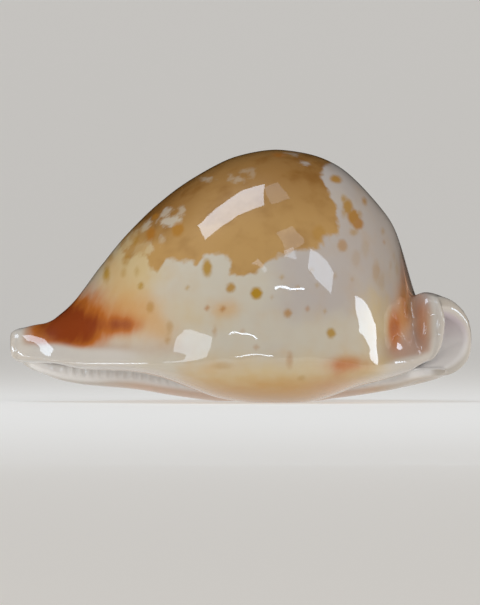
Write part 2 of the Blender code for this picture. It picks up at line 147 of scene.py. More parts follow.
# Enamel markings. A place on the shell is its x and its height, on the near or on the far side.
BLOTCH_NEAR = [
    (-25.4, 33), (-24.6, 31), (-23.2, 29.2), (-21.7, 30.2), (-19.8, 30.2), (-19, 29), (-18.2, 27.4),
    (-17.3, 25.8), (-16.3, 27.8), (-15.3, 29.7), (-12.8, 29.2), (-10.7, 28.7), (-9, 28.7), (-7.8, 30),
    (-5.7, 30.5), (-3.2, 30.4), (-2.3, 28.4), (-2, 26.2), (0.5, 25.9), (3, 26.2), (4.4, 28.6), (6.4, 30),
    (9.4, 30.7), (12.3, 31), (14.6, 31.6), (16.8, 32), (17.3, 33.8), (18.4, 34.2), (20, 34.4), (19.7, 36.4),
    (19.2, 38.4), (20, 39.8), (18.6, 42.2), (17.6, 44), (16.8, 46), (16.6, 48.4), (18.6, 49.4)
]
BLOTCH_FAR = [
    (18.8, 48.2), (18.6, 45), (21, 41), (20.4, 36.6), (17.6, 34), (14, 33.4), (11.4, 30.8), (8, 29.6),
    (5.4, 31.4), (2, 30.6), (0, 27.6), (-3, 27), (-5, 30.4), (-8.4, 31.6), (-11, 29.4), (-13.4, 27),
    (-16, 28.6), (-17, 32), (-20.4, 31), (-23, 29.4), (-25.6, 32)
]
# Each spot: x, height, half length, half height, warmth from yellow brown to rust, strength
NEAR_SPOTS = [
    (2.8, 22.8, 1.35, 1.35, 0.1, 1), (-2.4, 23.6, 1.1, 1.1, 0.3, 0.85), (-7, 27.8, 1.1, 1.9, 0.15, 0.9),
    (-11, 23.9, 0.6, 0.6, 0.2, 0.5), (-20.9, 24.1, 0.8, 0.8, 0.1, 0.75), (-3.9, 18.9, 0.75, 0.75, 0.8, 0.6),
    (-6.8, 19.2, 0.65, 0.7, 0.9, 0.6), (9.4, 18.7, 1, 1.05, 0.5, 0.7), (13.4, 18.9, 0.65, 0.8, 0.8, 0.45),
    (16.9, 19.1, 0.5, 0.6, 0.2, 0.45), (18, 14.3, 1.1, 1.15, 0.1, 0.85), (11.4, 24, 0.7, 0.7, 0.2, 0.5),
    (8, 25.3, 0.6, 0.65, 0.1, 0.4), (15.4, 24.3, 0.6, 0.65, 0.1, 0.3), (22.3, 25.1, 0.5, 0.6, 0.4, 0.25),
    (20.7, 32.2, 1.2, 1.4, 0.5, 0.55), (15.7, 34.7, 1.4, 1.7, 0.4, 0.4), (7.7, 51.1, 1.5, 0.5, 1, 0.9),
    (19.6, 46.1, 1.5, 1, 0.4, 0.9), (21.2, 42, 0.7, 1, 0.2, 0.7), (21.9, 40.2, 1.2, 2, 0.3, 0.85),
    (22.9, 38.2, 1.5, 1.9, 0.5, 0.9), (23.9, 36.8, 1.5, 1.4, 0.6, 0.85), (23, 34.9, 1.1, 0.8, 0.2, 0.5),
    (24.4, 38.6, 0.8, 1, 0.3, 0.5), (21.1, 38.8, 0.7, 1.2, 0.2, 0.5), (25.4, 41.3, 0.6, 1.1, 0.4, 0.75),
    (29.2, 35.1, 0.5, 0.8, 0.2, 0.45), (29.4, 32.9, 0.4, 0.5, 0.6, 0.4), (31.4, 30, 0.5, 1.2, 0.2, 0.25),
    (27.6, 27, 1, 2.4, 0.3, 0.35), (19.3, 26.4, 0.6, 0.8, 0.2, 0.25), (30.8, 28.4, 0.4, 1.1, 0.4, 0.3),
    (-18.7, 34.7, 1.1, 1.7, 0.8, 0.8), (-17.7, 38.4, 0.9, 0.8, 0.7, 0.8), (-12.9, 35.4, 1.4, 1.7, 0.6, 0.75),
    (-23.8, 35.4, 0.5, 0.8, 0.9, 0.6), (-22, 33.6, 0.7, 1.5, 0.3, 0.5), (-27.9, 26.5, 0.8, 2.1, 0.1, 0.85),
    (-26.9, 30, 0.7, 1.3, 0.2, 0.5), (-23.8, 29.4, 0.9, 1.5, 0.3, 0.5), (-22.5, 34.4, 0.7, 1.4, 0.5, 0.5),
    (-21.3, 27, 0.6, 1.1, 0.1, 0.4), (-24, 26.8, 0.8, 1.1, 0.1, 0.4), (-18.6, 19.3, 0.9, 1.3, 0.4, 0.5),
    (-14.6, 15.8, 0.8, 1.4, 0.4, 0.4), (-14.9, 12.6, 0.7, 0.9, 0.4, 0.4), (-5.3, 14.9, 0.6, 1.1, 0.6, 0.4),
    (0.1, 14.9, 0.7, 0.7, 0.8, 0.25), (2.9, 11.9, 0.8, 0.7, 0.8, 0.35), (9.8, 9.6, 0.8, 1.8, 0.8, 0.4),
    (12.3, 5.2, 0.9, 0.7, 0.2, 0.4), (-3.9, 7.6, 2.1, 0.8, 0.3, 0.35), (6.2, 21.8, 0.5, 0.6, 0.3, 0.3),
    (25.4, 31.4, 0.9, 2.2, 0.1, 0.2), (28.6, 25.2, 1, 2, 0.2, 0.25), (32.2, 27.6, 0.5, 1.6, 0.1, 0.3),
    (33.6, 31, 0.3, 1.3, 0.1, 0.3), (23.4, 29.4, 1.1, 1.8, 0.3, 0.2), (14.2, 27.6, 0.7, 0.8, 0.1, 0.25)
]
FAR_SPOTS, FAR_SPOT_SEED, FAR_SPOT_SPACING = 46, 11, 3.6
FAR_SPOT_AREA = (-29, 31), (4, 38)  # x and height
FAR_SPOT_SIZE, FAR_SPOT_TALLNESS = (0.5, 1.3), (1, 1.6)  # half length, and half height as a share of it
FAR_SPOT_STRENGTH, FAR_SPOT_EXTRA, FAR_SPOT_CLEARANCE = 0.35, 0.6, 1.5
# White gaps in the blotch: x, height, half length, half height, turn in degrees, strength
GAPS = [
    (1, 47.8, 1.6, 0.7, 10, 0.3), (2.2, 47, 0.7, 1, 0, 0.25), (-0.9, 45.6, 1.7, 0.7, 0, 0.35),
    (-2, 46.7, 0.7, 0.6, 0, 0.3), (-7.3, 45.9, 1.5, 0.5, 0, 0.4), (-14.6, 37.2, 2.7, 1.1, 0, 0.8),
    (-15.6, 39.2, 1.5, 0.8, 40, 0.7), (-12.4, 39.4, 0.8, 1.3, 0, 0.5), (-20.6, 31.8, 2.4, 1.2, 30, 0.4),
    (-18.9, 31.4, 1.2, 1.2, 0, 0.75), (-23.2, 33.4, 2.8, 0.9, 55, 0.7), (13.2, 49.3, 1.1, 0.6, 0, 0.7),
    (10.4, 51.2, 1.3, 0.35, 0, 0.6), (-19.8, 36.4, 1.8, 0.8, 50, 0.6), (-16.4, 33.4, 0.6, 1.4, 0, 0.4)
]
# Soft clouds of one colour: x, height, half length, half height, turn in degrees, strength
NEAR_CLOUDS = {
    "rust": [(-35.6, 16, 6, 3, 8, 1.2), (-36, 18.8, 4.6, 4, 35, 0.6), (-29.6, 16, 3.6, 2.6, 0, 0.55),
        (-23.6, 15.7, 3.2, 1.7, 0, 1.1), (-26, 17, 7, 3.6, 0, 0.3), (-31, 21, 4.4, 4.6, 45, 0.45),
        (-27, 23, 6, 5, 45, 0.1), (-41.6, 14.8, 3.4, 2, 15, 0.45), (-33.6, 12.8, 6, 2.4, 4, 1),
        (31.4, 15.4, 1.4, 4.6, 0, 0.8), (33.8, 20.6, 2, 6, 0, 0.45), (33, 14, 3.2, 6, 0, 0.2),
        (37.4, 17, 1.5, 7, 0, 0.5), (22, 8.4, 5, 1.8, 0, 0.65), (18.4, 3.4, 5, 2, 0, 0.3),
        (19.6, 6.6, 2, 2.4, 0, 0.25), (34.8, 27, 1.4, 4, 0, 0.35)],
    "cream": [(-25.5, 24, 6, 7, 40, 0.9), (-9, 18, 9, 4, 0, 0.5), (28.6, 15, 5, 7, 0, 0.7),
        (-22, 31, 6, 8, 40, 1), (13, 19, 3, 2.4, 0, 0.2), (26, 21, 5, 5, 0, 0.2)],
    # The amber at x 33.8, height 19.6 lies in the groove beside the back spout: partly the shell's orange
    # there, partly painted light, paler than the rust, that lifts the groove's shade
    "amber": [(-21.4, 18.2, 6, 5, 30, 0.9), (-16, 14.6, 4, 3.4, 0, 0.5), (-3.4, 19, 3.6, 2.3, 0, 0.75),
        (-27.5, 20, 5, 4, 40, 0.5), (-27.6, 29, 2.4, 6, 40, 0.5), (33.8, 19.6, 2, 5.6, 0, 1),
        (-6, 7.4, 6, 2.4, 0, 0.4), (9, 10, 1.6, 2.4, 0, 0.3), (21, 8, 6, 2.6, 0, 0.35),
        (38.8, 14, 2, 6, 0, 0.65), (19, 3.4, 8, 2.6, 0, 0.5)],
    "mauve": [(-41, 13, 4.6, 3, 0, 1), (-28, 11.2, 7, 1.6, 0, 0.5), (-17, 10.6, 8, 2.4, 0, 0.4),
        (33, 11, 5, 3.4, 0, 1), (36.2, 14, 2.4, 7, 0, 0.7), (39.8, 13, 2.4, 7, 0, 0.5)],
}
FAR_CLOUDS = {
    "rust": [(-37, 16, 6.4, 3.2, 20, 0.8), (-32.4, 17.8, 4.6, 4, 50, 0.7), (-27, 15.6, 3, 1.8, 0, 0.6),
        (-22, 19, 6, 3.2, 20, 0.2), (33, 20, 2, 5.4, 0, 0.55), (29.6, 14.6, 1.2, 2.6, 0, 0.5),
        (24, 8.8, 3.6, 1.3, 0, 0.35), (12, 9, 2, 1.2, 0, 0.25)],
    "cream": [(-24, 25, 6, 7, 40, 0.8), (-8, 17, 10, 4, 0, 0.4), (26, 16, 6, 6, 0, 0.6)],
    "amber": [(-20, 16, 7, 4.6, 20, 0.7), (-4, 8, 6, 2.4, 0, 0.4), (18, 7, 7, 3, 0, 0.5)],
    "mauve": [(-40, 12, 5, 2.6, 0, 0.6), (33, 11, 4.6, 3, 0, 0.7)],
}
MARK_DEPTH = 2.6  # a mark is seen from the side, and reaches this many times its size into the distance
OUTWARD_PULL = 0.01  # how much the outermost of several near points is favoured when a mark is placed
NO_MARK = -9.0  # a distance inside a mark that means far outside it

# Where each zone of colour sets in, and where it is full: _X along the shell, _Z up its height
FRONT_X, BACK_X, CREAM_X, LILAC_X = (-16, -27), (24, 33), (-18, -8), (0, 16)
CREAM_Z, LILAC_Z, HONEY_Z = (14, 3), (12, 22), (8, 1)
# The umber share darkens the blotch towards the top of the dome and at its upper left: partly the blotch's
# darker pigment, partly painted shade where less light falls
UMBER_SHADE_Z, UMBER_SHADE_SHARE = (34, 50), 0.7
UMBER_SHADE_FRONT_X, UMBER_SHADE_FRONT_Z, UMBER_SHADE_FRONT_SHARE = (-5, -20), (32, 39), 0.8
FRONT_MARGIN, BACK_MARGIN, BACK_MARGIN_SHARE = (3.8, 1.4), (2.4, 0.6), 0.8  # heights above the lip
NEAR_BASE, NEAR_BASE_SHARE, FAR_BASE = (0.55, 0.2), 0.8, (1, 0.7)  # 0 at a lip's foot, 1 on the widest line
BASE_END_X, BASE_BACK_FADE = (-20, -32), 0.8
NEAR_LIP, FAR_LIP = (-5, -2), (0, 1.5)  # how far inside the slit's edge, for the far lip from FAR_LIP_EDGE on
FAR_LIP_EDGE, FAR_LIP_SHIFT, FAR_LIP_X = -2.2, 0.8, (-34, -25)
OUTER_RIM, INNER_RIM = (1.8, 0.2), (-0.3, -1)  # distance from a spout's end
# Low down, the mauve inside the canals and the slit thins to the porcelain beneath: partly their own paler
# colour, partly painted light that lifts the shade in there
INSIDE_START, INSIDE_LOW_PALE_AND_LIT, INSIDE_Z_PALE_AND_LIT = 3, 0.12, (10, 18)
WAVE_Z, WAVE_FRONT_X = (2, 9), (-22, -30)  # the swellings

# Camera and stage
PHOTO_WIDTH = 480  # pixels
PHOTO_SCALE = 0.2074  # millimetres of shell to a pixel of the photograph
PHOTO_CENTRE = (-0.3, 20.6)  # x and height on the shell, in millimetres, at the middle of the photograph
CAMERA_DISTANCE, SENSOR = 1500, 36
TABLE_RADIUS, MIDDLE_RADIUS, FLOOR_RADIUS, COVE_RADIUS = 480, 1200, 2600, 900
COVE_POINTS, TURN_STEP = 13, 5  # points up the cove, and degrees between its profiles
SKY, TABLE_GLOW = 0.12, 1  # brightness of the even light from above, and of the light table itself
# Each light: direction from the shell (degrees round from -Y towards +X, degrees up), distance, width and
# height in millimetres, spin in degrees, brightness
LIGHTS = {
    "upper_left": (-64.5, 68, 566, 330, 205, 69.6, 6.4),
    "right_front": (47, 28.4, 580, 235, 115, -36, 4.4),
    "left_front": (-28.5, 7, 590, 225, 70, -14, 4),
    "upper_front": (23.6, 47.3, 590, 105, 125, 20, 1.5),
    "small_front": (21, 39, 590, 50, 55, 0, 3),
    "streak_front": (-2.5, 34.5, 590, 125, 25, -38, 2.4),
    "overhead": (28, 81.4, 585, 110, 170, 0, 1.2),
}
# The enamel mirrors these, and they light nothing
STRIPS = {
    "right": (93, 5.6, 590, 260, 90, -22, 7.5),
    "left_low": (-80, 3.6, 590, 480, 50, 0, 14),
    "strip_front": (18.6, 22.2, 590, 175, 9, -3, 16),
    "strip_middle": (-4.5, 6.2, 590, 86, 6, -19, 16),
    "strip_low": (1.5, -0.6, 590, 160, 5, -4, 16),
}
# These only soften the shade, and the enamel doesn't mirror them
FILLS = {
    "fill_front": (-15, 4.5, 1350, 2600, 320, 0, 0.95),
    "fill_left": (-80, 16, 900, 500, 260, 0, 4.8),
    "fill_right": (82, 20, 900, 500, 300, 0, 4.3),
    "fill_top": (0, 52, 1400, 1800, 800, 0, 0.25),
}
DAYLIGHT, WARM_LIGHT = "#dcedff", "#fff0dc"  # colours of the lamps and of the fills


def linear(code):
    """An sRGB hex colour as linear red, green, blue and alpha."""
    parts = [int(code[i : i + 2], 16) / 255 for i in (1, 3, 5)]
    return tuple(c / 12.92 if c <= 0.04045 else ((c + 0.055) / 1.055) ** 2.4 for c in parts) + (1,)


def length(name, millimetres, description):
    return bpy.props.FloatProperty(
        name=name, default=millimetres * MM, description=description, min=0, precision=5, unit="LENGTH"
    )


def colour(name, code, description):
    return bpy.props.FloatVectorProperty(
        name=name, default=linear(code), description=description, size=4, min=0, max=1, subtype="COLOR"
    )


class CowrieSizes(bpy.types.PropertyGroup):
    tooth_height: length("Tooth height", 0.6, "How far the teeth stand out of the lips")
    near_teeth: bpy.props.IntProperty(name="Near teeth", default=26, description="Teeth of the inner lip")
    far_teeth: bpy.props.IntProperty(name="Far teeth", default=39, description="Teeth of the outer lip")
    wave_height: length("Wave height", 0.05, "How far the enamel swells and sinks")
    wave_length: length("Wave length", 9, "Size of those swellings")


class CowrieColours(bpy.types.PropertyGroup):
    white: colour("White", "#cec5b4", "Ground of the dome")
    lilac: colour("Lilac", "#bfb5ae", "Greyish patches of the ground")
    cream: colour("Cream", "#d2bb8e", "Lower flanks")
    amber: colour("Amber", "#d2a062", "Warm glow around the rust")
    mauve: colour("Dusky mauve", "#b5998a", "Shelves beside both spouts")
    honey: colour("Honey", "#c99a4e", "Lowest flanks and the edge of the base")
    tan: colour("Tan", "#bf9559", "Large blotch on the dome")
    # Umber is the blotch's darker pigment, and where the umber share sets it, also painted shade
    umber: colour("Umber", "#8c5b1a", "Darker parts of the blotch")
    spot_yellow: colour("Yellow brown", "#b48c2c", "Cool spots")
    spot_rust: colour("Rust brown", "#b16c27", "Warm spots")
    rust: colour("Rust", "#c0702c", "Clouds at both spouts")
    deep_rust: colour("Deep rust", "#8f3f19", "Middle of those clouds")
    base: colour("Peach", "#dbc0ac", "Underside")
    margin: colour("Bone", "#d0c8be", "Margins and rims of both spouts")
    lip: colour("Porcelain", "#f4f1ee", "Teeth and lips")
    inside: colour("Mauve", "#c6b8bc", "Walls of the slit, the canals and the hollow")
    floor: colour("Floor", "#b2b1af", "Studio floor")


def ease(low, high, value):
    """0 at low, 1 at high, and a smooth change between. low may be the larger."""
    t = np.clip((value - low) / (high - low), 0, 1)
    return t * t * (3 - 2 * t)


def bump(value, centre, width):
    return np.exp(-(((value - centre) / width) ** 2))


def bell(width, step):
    """The weights of a bell curve, out to four widths either way, and how many steps that is."""
    reach = int(4 * width / step)
    weights = np.exp(-0.5 * (np.arange(-reach, reach + 1) * step / width) ** 2)
    return weights / weights.sum(), reach


def spacing(points):
    """The distance from each point of a section to its next one."""
    return np.linalg.norm(np.diff(points, axis=1), axis=-1)


def walked(steps):
    """How far along its section each point lies, from the steps between them."""
    return np.pad(np.cumsum(steps, axis=1), ((0, 0), (1, 0)))


def eased_outlines():
    """Each outline as finely stepped values, curved between its points and then eased."""
    weights, reach = bell(SMOOTHING, OUTLINE_STEP)
    at = np.arange(FRONT_END - 8, BACK_END + 8, OUTLINE_STEP)
    found = {}
    for name, points in OUTLINES.items():
        x, y = np.array(points, float).T
        rise = np.diff(y) / np.diff(x)
        both = rise[1:] * rise[:-1]
        slope = np.where(both > 0, 2 * both / np.where(both > 0, rise[1:] + rise[:-1], 1), 0)
        slope = np.concatenate([rise[:1], slope, rise[-1:]])
        i = np.clip(np.searchsorted(x, at, "right") - 1, 0, len(x) - 2)
        width = x[i + 1] - x[i]
        t = np.clip((at - x[i]) / width, 0, 1)
        value = y[i] + width * t * slope[i] + t * t * (
            (3 - 2 * t) * (y[i + 1] - y[i] - width * slope[i]) + (t - 1) * width * (slope[i + 1] - slope[i])
        )
        value += rise[0] * np.minimum(at - x[0], 0) + rise[-1] * np.maximum(at - x[-1], 0)
        found[name] = (at[reach:-reach], np.convolve(value, weights, "valid"))
    return found


def quarter(centre, reach, roundness, count, rising):
    """A quarter superellipse at every station, from its sideways end to its upright end if rising."""
    angles = np.linspace(0, math.pi / 2, count + 1)
    if not rising:
        angles = angles[::-1]
    power = 2 / np.broadcast_to(roundness, centre[0].shape)[:, None]
    y = centre[0][:, None] + reach[0][:, None] * np.cos(angles).clip(0) ** power
    z = centre[1][:, None] + reach[1][:, None] * np.sin(angles).clip(0) ** power
    return np.stack([y, z], axis=-1)


def joined(first, *others):
    return np.concatenate([first] + [other[:, 1:] for other in others], axis=1)


def half_section(lines, near):
    """Outer and inner points of one side of the wall at every station, from the slit's edge up to the ridge."""
    side, sign = ("near", -1) if near else ("far", 1)
    lip, base, flank = SPANS
    width = sign * lines[side + "_width"]
    margin, low, roll = (lines[side + part] for part in ("_margin", "_base", "_roll"))
    rise, top, ridge = lines["roll_rise"], lines["top"], lines["ridge_side"]
    edge = lines["slit_centre"] + sign * lines["slit_width"] / 2
    foot = edge + sign * roll
    outer = joined(
        quarter((foot, low + rise), (-sign * roll, -rise), 2, lip, True),
        quarter((foot, margin), (width - foot, low - margin), LOWER_ROUNDNESS, base, False),
        quarter((ridge, margin), (width - ridge, top - margin), lines[side + "_flank"], flank, True),
    )
    floor = low + lines["lip_depth"]
    ceiling = top - lines["top_wall"]
    hollow = sign * lines[side + "_hollow"]
    in_roll = np.minimum(INNER_ROLL[0] * roll, INNER_ROLL[1] * abs(hollow - edge))
    in_rise = INNER_RISE * (floor - low - rise)
    belly = np.maximum(margin, floor + BELLY_SHARE * (ceiling - floor))
    foot = edge + sign * in_roll
    inner = joined(
        quarter((foot, floor - in_rise), (-sign * in_roll, in_rise), 2, lip, True),
        quarter((foot, belly), (hollow - foot, floor - belly), 2, base, False),
        quarter((ridge, belly), (hollow - ridge, ceiling - belly), INNER_ROUNDNESS, flank, True),
    )
    return outer, inner


def sections(s):
    """Outer and inner points at every station, from the near edge of the slit round to the far one."""
    lines = {name: np.interp(s, *eased) for name, eased in EASED.items()}
    near, far = half_section(lines, True), half_section(lines, False)
    outer, inner = (np.concatenate([n, f[:, -2::-1]], axis=1) for n, f in zip(near, far))
    dip = lines["ridge_dip"][:, None] * bump(outer[..., 0], lines["ridge_side"][:, None], DIP_WIDTH)
    outer[..., 1] -= dip * (outer[..., 1] > lines["near_margin"][:, None])
    return outer, inner


def corners(points, radii):
    """How far a rounded rim falls back at each point, by its distance along the section from either foot."""
    steps = spacing(points)
    steps[:, : SPANS[0]] = 0
    steps[:, -SPANS[0] :] = 0
    along = walked(steps)
    left = [np.maximum(1 - d / high, 0) for (_, high), d in zip(radii, (along, along[:, -1:] - along))]
    return sum(fall * share**3 for (fall, _), share in zip(radii, left))


def on_spine(at, across, up):
    """Places at these distances along the spine, which starts to turn gently at about BEND_START."""
    weights, reach = bell(BEND_EASE, SPINE_STEP)
    extra = reach * SPINE_STEP
    s = np.arange(-SPINE_REACH - extra, SPINE_REACH + extra, SPINE_STEP)
    heading = np.radians(BEND_DEGREES) * np.clip((s - BEND_START) / (BACK_END - BEND_START), 0, 1)
    heading = np.convolve(heading, weights, "valid")
    s = s[reach:-reach]
    x = s[0] + np.cumsum(np.cos(heading)) * SPINE_STEP
    y = -np.cumsum(np.sin(heading)) * SPINE_STEP
    h, x, y = (np.interp(at, s, values) for values in (heading, x, y))
    return np.stack([x + across * np.sin(h), y + across * np.cos(h), up], axis=-1)


def carve_near_side(points, share):
    """The groove beside the back spout, the hollow flank of the front one, and the swollen edge below both."""
    x, y, z = points[..., 0], points[..., 1], points[..., 2]
    groove = ease(*GROOVE_FOOT, z) * (1 - ease(*GROOVE_HEAD, share)) * bump(x, GROOVE_AT, GROOVE_WIDTH)
    dish = ease(*DISH_START, x) * (1 - ease(*DISH_STOP, x)) * bump(z, DISH_HEIGHT, DISH_WIDTH)
    flange = np.maximum(1 - ease(*FLANGE_STOP, x), ease(*FLANGE_START, x)) * ease(*FLANGE_FOOT, share)
    flange *= bump(z, FLANGE_HEIGHT, FLANGE_WIDTH)
    y += GROOVE_DEPTH * groove + DISH_DEPTH * dish - FLANGE * flange


def section_shares():
    """For each point of a section, 0 at a foot and 1 at the ridge."""
    half = np.concatenate([[0]] + [
        np.linspace(low, high, count + 1)[1:]
        for low, high, count in zip(PART_SHARES, PART_SHARES[1:], SPANS)
    ])
    return np.concatenate([half, half[-2::-1]])


def wall_stations():
    """Distance along the spine, pinch and lead of every ring: both rims are rounded by pinching the wall."""
    s = np.linspace(FRONT_END, BACK_END, round((BACK_END - FRONT_END) / STATION_STEP) + 1)
    turn = np.radians(np.linspace(90, 0, RIM_RINGS + 1)[:-1] - RIM_FLAT)
    ends = np.ones(RIM_RINGS)
    at = np.concatenate([ends * FRONT_END, s, ends * BACK_END])
    pinch = np.concatenate([np.cos(turn), np.ones(len(s)), np.cos(turn[::-1])])
    ahead = RIM_RADIUS * np.concatenate([-np.sin(turn), np.zeros(len(s)), np.sin(turn[::-1])])
    return at, pinch, ahead


def wall_points():
    """Outer and inner points of every ring, in the frame, and how far each ring is from its nearer rim."""
    s, pinch, ahead = wall_stations()
    outer, inner = sections(s)
    middle = (outer + inner) / 2
    share = section_shares()
    front = (1 - ease(FRONT_END, FRONT_END + FRONT_FADE, s))[:, None]
    back = ease(BACK_END - BACK_FADE, BACK_END, s)[:, None]
    notch = ease(FRONT_NOTCH_SHARE, 1, share) * FRONT_NOTCH * front + ahead[:, None]
    notch = notch - ease(BACK_NOTCH_SHARE, 1, share) * BACK_NOTCH * back
    falls = [corners(f, FRONT_CORNERS) * front - corners(f, BACK_CORNERS) * back for f in (outer, inner)]
    shared = (falls[0] + falls[1]) / 2
    faces = []
    for points, fall in zip((outer, inner), falls):
        points = middle + (points - middle) * pinch[:, None, None]
        slide = notch + shared + (fall - shared) * pinch[:, None]
        faces.append(on_spine(s[:, None] + slide, points[..., 0], points[..., 1]))
    outer, inner = faces
    half = outer.shape[1] // 2
    carve_near_side(outer[:, :half], share[:half])
    away = np.linalg.norm(outer - np.array(PIT_CENTRE), axis=-1)
    outer[..., 2] = np.maximum(outer[..., 2] - PIT_DEPTH * bump(away, 0, PIT_RADIUS), 0)
    inner = inner[:, ::2]
    reach = np.concatenate([outer, inner], axis=1).reshape(-1, 3)
    shift = (reach.min(axis=0) + reach.max(axis=0)) / 2 * (1, 1, 0)
    from_rim = np.minimum(s - FRONT_END, BACK_END - s) - (1 - pinch) * RIM_RADIUS
    return outer - shift, inner - shift, s, from_rim


EASED = eased_outlines()


class Chart:
    """The outer face laid flat: x, and the distance over it from the ridge, negative on the near side."""

    def __init__(self, outer):
        along = walked(spacing(outer))
        self.half = outer.shape[1] // 2
        self.x, self.across, self.height = np.moveaxis(outer, -1, 0)
        self.over = along - along[:, self.half : self.half + 1]
        self.from_lip = np.minimum(along, along[:, -1:] - along)

    def place(self, x, height, near):
        """The row and column of the outermost point at this x and height, on the near or the far side."""
        first = 0 if near else self.half
        columns = slice(0, self.half + 1) if near else slice(self.half, None)
        gap = (self.x[:, columns] - x) ** 2 + (self.height[:, columns] - height) ** 2
        gap += OUTWARD_PULL * self.across[:, columns] * (1 if near else -1)
        row, column = np.unravel_index(gap.argmin(), gap.shape)
        return row, first + column

    def ellipse(self, x, height, long, high, near, turn=0):
        """Distance from the middle of a mark, an ellipse seen from the side, at every point: 1 at its edge."""
        at = self.place(x, height, near)
        dx, dz, dy = (values - values[at] for values in (self.x, self.height, self.across))
        cos, sin = math.cos(math.radians(turn)), math.sin(math.radians(turn))
        along, up = (dx * cos + dz * sin) / long, (dz * cos - dx * sin) / high
        return np.sqrt(along**2 + up**2 + (dy / (MARK_DEPTH * max(long, high))) ** 2)


def inside_outline(chart, outline):
    """Distance into a closed outline at every point of the chart, negative outside it."""
    points = np.stack([chart.x, chart.over], axis=-1)
    nearest = np.full(chart.x.shape, np.inf)
    odd = np.zeros(chart.x.shape, bool)
    for a, b in zip(outline, np.roll(outline, -1, axis=0)):
        run = b - a
        t = np.clip(((points - a) @ run) / (run @ run), 0, 1)
        nearest = np.minimum(nearest, np.linalg.norm(points - a - t[..., None] * run, axis=-1))
        spans = (a[1] > points[..., 1]) != (b[1] > points[..., 1])
        crossing = a[0] + (points[..., 1] - a[1]) * run[0] / (run[1] if run[1] else 1)
        odd ^= spans & (points[..., 0] < crossing)
    return np.where(odd, nearest, -nearest)


def far_spots(chart, blotch):
    """Spots scattered over the far flank, clear of the blotch and of each other."""
    rng = np.random.default_rng(FAR_SPOT_SEED)
    found = []
    while len(found) < FAR_SPOTS:
        x, height = (rng.uniform(*limits) for limits in FAR_SPOT_AREA)
        size, tall = rng.uniform(*FAR_SPOT_SIZE), rng.uniform(*FAR_SPOT_TALLNESS)
        warmth, strength = rng.random(), rng.random()
        if any(math.hypot(x - spot[0], height - spot[1]) < FAR_SPOT_SPACING for spot in found):
            continue
        if blotch[chart.place(x, height, False)] > -FAR_SPOT_CLEARANCE * size:
            continue
        found.append((x, height, size, size * tall, warmth, FAR_SPOT_STRENGTH + FAR_SPOT_EXTRA * strength))
    return found


def all_round(outer, inner):
    """Whole rings: the outer face, the far wall of the slit, the inner face back, and the near wall."""
    share = np.arange(1, SLIT_ROWS + 1) / (SLIT_ROWS + 1)
    share = share.reshape((1, -1) + (1,) * (outer.ndim - 2))
    far = outer[:, -1:] * (1 - share) + inner[:, -1:] * share
    near = inner[:, :1] * (1 - share) + outer[:, :1] * share
    return np.concatenate([outer, far, inner[:, ::-1], near], axis=1)


def slit_depth(outer, inner, from_lip):
    """How far each point lies inside the slit's edge, negative on the base, and the height of its walls."""
    height = np.linalg.norm(outer[:, [0, -1]] - inner[:, [0, -1]], axis=-1)
    along = walked(spacing(inner))
    half = inner.shape[1] // 2
    into = np.minimum(along, along[:, -1:] - along)
    into[:, : half + 1] += height[:, :1]
    into[:, half + 1 :] += height[:, 1:]
    return all_round(-from_lip, into), height.mean(axis=1)[:, None]


def nearest_mark(chart, rows):
    """How far each point lies inside the mark it is deepest in, and that mark's own values.

    Each row: x, height, half length, half height, whether on the near side, turn, own values.
    """
    inside = np.full(chart.x.shape, NO_MARK)
    own = np.zeros((len(rows[0][-1]),) + chart.x.shape)
    for x, height, long, high, near, turn, values in rows:
        inward = (1 - chart.ellipse(x, height, long, high, near, turn)) * min(long, high)
        nearer = inward > inside
        inside[nearer] = inward[nearer]
        own[:, nearer] = np.array(values)[:, None]
    return inside, own


